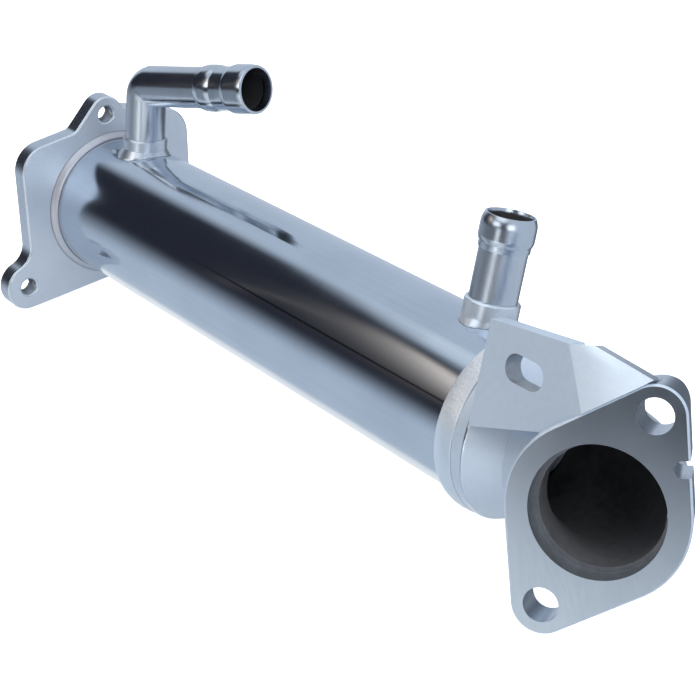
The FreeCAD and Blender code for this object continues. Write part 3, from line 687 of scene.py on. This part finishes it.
# World: a light studio with a dark side. Rays that the camera sends see plain white
world = bpy.data.worlds.new("studio")
bpy.context.scene.world = world
world.use_nodes = True
graph = Graph(world.node_tree)
eastward, northward, upward = graph.axes(graph.node("ShaderNodeTexCoord", output="Generated"))
elevation = upward.maths("ARCSINE") * (180 / math.pi)
azimuth = northward.maths("ARCTAN2", eastward) * (180 / math.pi)


# Eases between two cosines of the way round from an azimuth in degrees
def facing(centre, start, end):
    return ((azimuth - centre) * (math.pi / 180)).maths("COSINE").eased(start, end)


# Where the dark side lies: each azimuth with the cosines between which it fades. The table's
# edge is nearer and crisper on the camera's side, where its two elevations shift
studio = {"dark": (0.025, 0.027, 0.038), "light": (0.58, 0.655, 0.755),
          "darkSides": ((-110.0, 0.0, 0.34), (-150.0, -0.5, -0.09), (160.0, 0.97, 0.86)),
          "roof": (40.0, 48.0), "cameraSide": (-50.0, 0.5, 0.87), "tableFrom": 6.0,
          "tableFromShift": 12.3, "tableTo": 22.0, "tableToShift": 10.5}

# Patches over the studio, each on top of the last: azimuth and cosines, then the elevations in
# degrees between which it fades in or out
patches = {
    "table": {"facing": (-79.0, 0.80, 1.0), "fades": ((-6.0, -13.5),),
              "colour": (0.86, 0.91, 0.96)},
    "key": {"facing": (-32.0, 0.955, 0.985), "fades": ((2.0, 8.0), (32.0, 24.0)),
            "colour": (2.0, 2.1, 2.2)},
    "roofStripe": {"facing": (-171.0, 0.955, 0.995), "fades": ((42.0, 47.0),),
                   "colour": (0.82, 0.90, 0.98)},
    "under": {"facing": (157.0, 0.93, 0.98), "fades": ((-24.0, -32.0),),
              "colour": (0.95, 0.98, 1.0)},
    "sky": {"facing": (-85.0, 0.75, 0.95), "fades": ((34.0, 46.0),),
            "colour": (1.25, 1.32, 1.40)},
    "darkBack": {"facing": (106.0, 0.92, 0.98), "fades": ((-58.0, -46.0), (24.0, 12.0)),
                 "colour": (0.13, 0.15, 0.18)},
    "wing": {"facing": (-96.0, 0.93, 0.985), "fades": ((11.0, 17.0), (37.0, 29.0)),
             "colour": (1.75, 1.85, 1.95)},
    "underRun": {"facing": (-119.0, 0.975, 0.996), "fades": ((2.0, -6.0), (-44.0, -36.0)),
                 "colour": (0.24, 0.28, 0.33)},
}
fadeIn, fadeOn, fadeOut = (facing(*plan) for plan in studio["darkSides"])
darkSide = fadeIn * fadeOn * fadeOut
cameraSide = facing(*studio["cameraSide"])
tableGlow = elevation.eased(studio["tableFrom"] - cameraSide * studio["tableFromShift"],
                            cameraSide * studio["tableToShift"] - studio["tableTo"])
roof = elevation.eased(*studio["roof"])
lightness = (1.0 - darkSide).maths("MAXIMUM", roof).maths("MAXIMUM", tableGlow)
lit = graph.blend(lightness, rgba(studio["dark"]), rgba(studio["light"]))
for plan in patches.values():
    share = facing(*plan["facing"])
    for fade in plan["fades"]:
        share = share * elevation.eased(*fade)
    lit = graph.blend(share, lit, rgba(plan["colour"]))
paths = graph.node("ShaderNodeLightPath", output="Is Camera Ray")
seen = graph.blend(paths, lit, rgba((1.0, 1.0, 1.0)))
background = graph.node("ShaderNodeBackground", {"Color": seen, "Strength": 1.0})
graph.node("ShaderNodeOutputWorld", {"Surface": background})


# A square panel of the studio. Its size is half its width
def makePanel(name, size):
    form = bmesh.new()
    bmesh.ops.create_grid(form, x_segments=1, y_segments=1, size=size)
    return addObject(name, meshFrom(form, name))


# Makes a panel glow in reflections only, and clear to all else
def glowInPolish(panel, material, graph, colour, strength):
    panel.visible_camera = panel.visible_diffuse = False
    panel.visible_shadow = panel.visible_transmission = False
    glow = graph.node("ShaderNodeEmission", {"Color": rgba(colour), "Strength": strength})
    both = graph.node("ShaderNodeAddShader", [graph.node("ShaderNodeBsdfTransparent"), glow])
    graph.node("ShaderNodeOutputMaterial", {"Surface": both})
    panel.data.materials.append(material)


# Floor under the part, white to the camera but for the part's soft shadow
ground = {"size": 4.0, "middle": 0.15, "below": 0.2 * mm, "colour": (0.6, 0.59, 0.575),
          "glow": 0.82}
floor = makePanel("floor", ground["size"])
floor.location = (ground["middle"], 0.0, cadBox[0].z - ground["below"])
floor.visible_glossy = False
pale, graph = newMaterial("paleFloor")
diffuse = graph.node("ShaderNodeBsdfDiffuse", {"Color": rgba(ground["colour"])})
camOnly = graph.node("ShaderNodeLightPath", output="Is Camera Ray")
glow = graph.node("ShaderNodeEmission", {"Color": rgba((1.0, 1.0, 1.0)),
                                         "Strength": camOnly * ground["glow"]})
both = graph.node("ShaderNodeAddShader", [diffuse, glow])
graph.node("ShaderNodeOutputMaterial", {"Surface": both})
floor.data.materials.append(pale)

# A warm softbox near the casting, seen only in its polish. It grows brighter along its slant up
# to most, fades out at its top and sides, and has a crisp bright line at its left edge
softbox = {"place": Vector((-25.4, -208.0, 249.1)) * mm,
           "towards": Vector((243.0, -20.0, 19.5)) * mm,
           "size": 0.5, "slant": (0.61, 0.79), "fade": 0.032, "most": 1.15,
           "top": (0.045, 0.005), "left": (-0.09, -0.025), "right": (0.13, 0.08),
           "edge": -0.036, "edgeWidth": (0.006, 0.001), "edgeFoot": (-0.26, -0.24),
           "edgeTop": (-0.06, -0.09), "edgeGlow": 0.12, "colour": (1.0, 0.86, 0.73)}
towards = (softbox["place"] - softbox["towards"]).normalized()
sideways = Vector((-towards.y, towards.x, 0)).normalized()
box = makePanel("softbox", softbox["size"])
box.matrix_world = Matrix.Translation(softbox["place"]) @ Matrix(
    (sideways, towards.cross(sideways), towards)).transposed().to_4x4()
warm, graph = newMaterial("softboxGlow")
sideStep, upStep = graph.axes(graph.place(), 2)
slant = sideStep * softbox["slant"][0] + upStep * softbox["slant"][1]
fade = graph.node("ShaderNodeMath", [math.e, slant * (1 / softbox["fade"])], operation="POWER")
fade = fade.maths("MINIMUM", softbox["most"]) * upStep.eased(*softbox["top"])
fade = fade * sideStep.eased(*softbox["left"]) * sideStep.eased(*softbox["right"])
edgeLine = (sideStep - softbox["edge"]).maths("ABSOLUTE").eased(*softbox["edgeWidth"])
edgeLine = edgeLine * upStep.eased(*softbox["edgeFoot"]) * upStep.eased(*softbox["edgeTop"])
glowInPolish(box, warm, graph, softbox["colour"], fade + edgeLine * softbox["edgeGlow"])

# A white card in front, seen by the spigots but beside what the outlet flange's face sees
frontCard = {"place": (0.435, -1.4, -0.075), "size": 0.5, "sides": (0.24, 0.13),
             "ends": (0.30, 0.18), "colour": (0.95, 0.98, 1.0), "strength": 1.5}
card = makePanel("card", frontCard["size"])
card.location = frontCard["place"]
card.rotation_euler = (math.radians(90), 0, 0)
white, graph = newMaterial("cardGlow")
sideStep, upStep = (step.maths("ABSOLUTE") for step in graph.axes(graph.place(), 2))
shine = sideStep.eased(*frontCard["sides"]) * upStep.eased(*frontCard["ends"])
glowInPolish(card, white, graph, frontCard["colour"], shine * frontCard["strength"])

# Soft lamps that light what is satin and leave the mirror-bright steel to the studio
lamps = {
    "overhead": {"place": Vector((0.1, -0.1, 1.3)), "size": 1.4, "power": 18.0},
    "left": {"place": Vector((-0.75, -0.75, 0.45)), "size": 0.9, "power": 13.0},
    "right": {"place": Vector((1.2, -0.2, 0.9)), "size": 0.9, "power": 14.0},
}
lampAim = Vector((0.15, 0, 0))
for name, plan in lamps.items():
    lampData = bpy.data.lights.new(name, "AREA")
    lampData.energy = plan["power"]
    lampData.shape = "SQUARE"
    lampData.size = plan["size"]
    lamp = addObject(name, lampData)
    lamp.location = plan["place"]
    lamp.rotation_euler = (plan["place"] - lampAim).to_track_quat("Z", "Y").to_euler()
    lamp.visible_glossy = False
print("studio made")

side = camera["forward"].cross(camera["up"]).normalized()
above = side.cross(camera["forward"])
turn = Matrix((side, above, -camera["forward"])).transposed()
cameraData = bpy.data.cameras.new("photoCamera")
cameraData.sensor_width = camera["sensor"]
cameraData.lens = camera["lens"]
cameraData.clip_start = camera["near"]
eye = addObject("photoCamera", cameraData)
eye.matrix_world = Matrix.Translation(camera["place"]) @ turn.to_4x4()
bpy.context.scene.camera = eye
bpy.context.scene.view_settings.view_transform = "Standard"
print("camera made")
